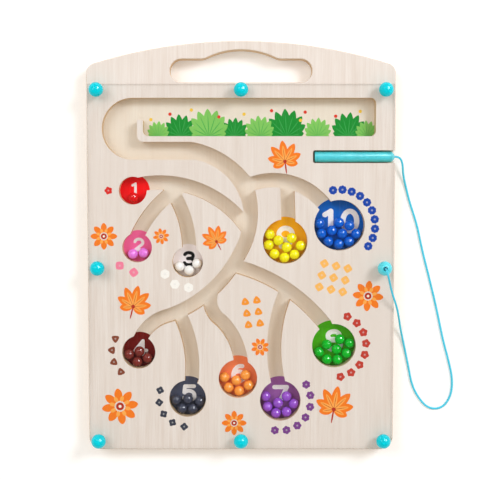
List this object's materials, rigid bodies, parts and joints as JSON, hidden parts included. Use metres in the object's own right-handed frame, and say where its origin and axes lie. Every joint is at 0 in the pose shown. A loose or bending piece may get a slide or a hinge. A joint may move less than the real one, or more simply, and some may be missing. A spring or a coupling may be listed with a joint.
{
  "type": "magnetic maze board",
  "caption": "Flat wooden maze tray with routed channels and round counting pockets, coated steel balls, a clear cover under knobs, a handle and a magnet pen on a cord.",
  "frame": {"origin": "middle of the back of the board, on the surface that it lies on", "axes": "+Z out of the face with the maze, +Y towards the handle, +X to the right, where the pen slides out"},
  "size_m": [0.2715, 0.3, 0.0319],
  "materials": {
    "back_wood": "satin lacquered plywood",
    "maze_wood": "satin lacquered, with routed walls",
    "clear_cover": "clear polished acrylic sheet",
    "knob_plastic": "moulded gloss",
    "cord_knob": "moulded gloss, bored",
    "screw_steel": "zinc plated",
    "pen_plastic": "moulded gloss",
    "magnet": "nickel plated magnet",
    "cord": "braided cord",
    "red_ball": "gloss coated steel",
    "pink_ball": "gloss coated steel",
    "white_ball": "gloss coated steel",
    "brown_ball": "gloss coated steel",
    "charcoal_ball": "gloss coated steel",
    "orange_ball": "gloss coated steel",
    "violet_ball": "gloss coated steel",
    "green_ball": "gloss coated steel",
    "yellow_ball": "gloss coated steel",
    "blue_ball": "gloss coated steel"
  },
  "bodies": {
    "board": {"back_panel": "back_wood", "maze_board": "maze_wood", "cover_sheet": "clear_cover", "cap_knob_top_left": "knob_plastic", "cap_knob_top_middle": "knob_plastic", "cap_knob_top_right": "knob_plastic", "cap_knob_middle_left": "knob_plastic", "cap_knob_bottom_left": "knob_plastic", "cap_knob_bottom_middle": "knob_plastic", "cap_knob_bottom_right": "knob_plastic", "cord_knob": "cord_knob", "knob_screws": "screw_steel", "cord_anchor": "cord"},
    "pen": {"pen_barrel": "pen_plastic", "pen_magnet": "magnet", "pen_tip_cap": "pen_plastic", "pen_tail_plug": "pen_plastic", "cord": "cord"},
    "red_lead": {"red_ball": "red_ball"},
    "pink_lead": {"pink_ball_1": "pink_ball"},
    "pink_rest": {"pink_ball_2": "pink_ball"},
    "white_lead": {"white_ball_1": "white_ball"},
    "white_rest": {"white_ball_2": "white_ball", "white_ball_3": "white_ball"},
    "brown_lead": {"brown_ball_1": "brown_ball"},
    "brown_rest": {"brown_ball_2": "brown_ball", "brown_ball_3": "brown_ball", "brown_ball_4": "brown_ball"},
    "charcoal_lead": {"charcoal_ball_1": "charcoal_ball"},
    "charcoal_rest": {"charcoal_ball_2": "charcoal_ball", "charcoal_ball_3": "charcoal_ball", "charcoal_ball_4": "charcoal_ball", "charcoal_ball_5": "charcoal_ball"},
    "orange_lead": {"orange_ball_1": "orange_ball"},
    "orange_rest": {"orange_ball_2": "orange_ball", "orange_ball_3": "orange_ball", "orange_ball_4": "orange_ball", "orange_ball_5": "orange_ball", "orange_ball_6": "orange_ball"},
    "violet_lead": {"violet_ball_1": "violet_ball"},
    "violet_rest": {"violet_ball_2": "violet_ball", "violet_ball_3": "violet_ball", "violet_ball_4": "violet_ball", "violet_ball_5": "violet_ball", "violet_ball_6": "violet_ball", "violet_ball_7": "violet_ball"},
    "green_lead": {"green_ball_1": "green_ball"},
    "green_rest": {"green_ball_2": "green_ball", "green_ball_3": "green_ball", "green_ball_4": "green_ball", "green_ball_5": "green_ball", "green_ball_6": "green_ball", "green_ball_7": "green_ball", "green_ball_8": "green_ball"},
    "yellow_lead": {"yellow_ball_lead": "yellow_ball"},
    "yellow_rest": {"yellow_balls_rest": "yellow_ball"},
    "blue_lead": {"blue_ball_lead": "blue_ball"},
    "blue_rest": {"blue_balls_rest": "blue_ball"}
  },
  "joints": [
    {"name": "pen_slide", "type": "slide", "parent": "board", "child": "pen", "axis": [1, 0, 0], "range_m": [0, 0.062]},
    {"name": "red_roll", "type": "hinge", "parent": "board", "child": "red_lead", "pos_m": [-0.0578, 0.0245, 0.00685], "axis": [0, 0, 1], "range_deg": [-95, 2]},
    {"name": "pink_roll", "type": "hinge", "parent": "board", "child": "pink_lead", "pos_m": [-0.0158, -0.0146, 0.00685], "axis": [0, 0, 1], "range_deg": [-48, 0]},
    {"name": "pink_swirl", "type": "hinge", "parent": "board", "child": "pink_rest", "pos_m": [-0.07616, 0, 0.00685], "axis": [0, 0, 1], "range_deg": [-2, 64]},
    {"name": "white_roll", "type": "hinge", "parent": "board", "child": "white_lead", "pos_m": [-0.0776, 0.0089, 0.00685], "axis": [0, 0, 1], "range_deg": [0, 74]},
    {"name": "white_swirl", "type": "hinge", "parent": "board", "child": "white_rest", "pos_m": [-0.03915, -0.01065, 0.00685], "axis": [0, 0, 1], "range_deg": [0, 40]},
    {"name": "brown_roll", "type": "hinge", "parent": "board", "child": "brown_lead", "pos_m": [-0.0511, -0.0744, 0.00685], "axis": [0, 0, 1], "range_deg": [-116, 0]},
    {"name": "brown_swirl", "type": "hinge", "parent": "board", "child": "brown_rest", "pos_m": [-0.07537, -0.07725, 0.00685], "axis": [0, 0, 1], "range_deg": [-28, 60]},
    {"name": "charcoal_roll", "type": "hinge", "parent": "board", "child": "charcoal_lead", "pos_m": [-0.1203, -0.0869, 0.00685], "axis": [0, 0, 1], "range_deg": [0, 37.5]},
    {"name": "charcoal_swirl", "type": "hinge", "parent": "board", "child": "charcoal_rest", "pos_m": [-0.03949, -0.1119, 0.00685], "axis": [0, 0, 1], "range_deg": [-64, 30]},
    {"name": "orange_roll", "type": "hinge", "parent": "board", "child": "orange_lead", "pos_m": [-0.1023, -0.1159, 0.00685], "axis": [0, 0, 1], "range_deg": [0, 31.5]},
    {"name": "orange_swirl", "type": "hinge", "parent": "board", "child": "orange_rest", "pos_m": [-0.00225, -0.09705, 0.00685], "axis": [0, 0, 1], "range_deg": [-64, 1]},
    {"name": "violet_roll", "type": "hinge", "parent": "board", "child": "violet_lead", "pos_m": [0.1073, -0.0709, 0.00685], "axis": [0, 0, 1], "range_deg": [-52, 0]},
    {"name": "violet_swirl", "type": "hinge", "parent": "board", "child": "violet_rest", "pos_m": [0.02902, -0.1134, 0.00685], "axis": [0, 0, 1], "range_deg": [-40, 1]},
    {"name": "green_roll", "type": "slide", "parent": "board", "child": "green_lead", "axis": [-0.7111, 0.7031, 0], "range_m": [0, 0.056]},
    {"name": "green_swirl", "type": "hinge", "parent": "board", "child": "green_rest", "pos_m": [0.06851, -0.07245, 0.00685], "axis": [0, 0, 1], "range_deg": [-24, 1]},
    {"name": "yellow_roll", "type": "slide", "parent": "board", "child": "yellow_lead", "axis": [-0.105, 0.9945, 0], "range_m": [0, 0.0325]},
    {"name": "yellow_swirl", "type": "hinge", "parent": "board", "child": "yellow_rest", "pos_m": [0.0324, 0.0045, 0.00685], "axis": [0, 0, 1], "range_deg": [-46, 2]},
    {"name": "blue_roll", "type": "hinge", "parent": "board", "child": "blue_lead", "pos_m": [0.0191, -0.0122, 0.00685], "axis": [0, 0, 1], "range_deg": [0, 78]},
    {"name": "blue_swirl", "type": "hinge", "parent": "board", "child": "blue_rest", "pos_m": [0.07211, 0.01635, 0.00685], "axis": [0, 0, 1], "range_deg": [-6, 1]}
  ]
}
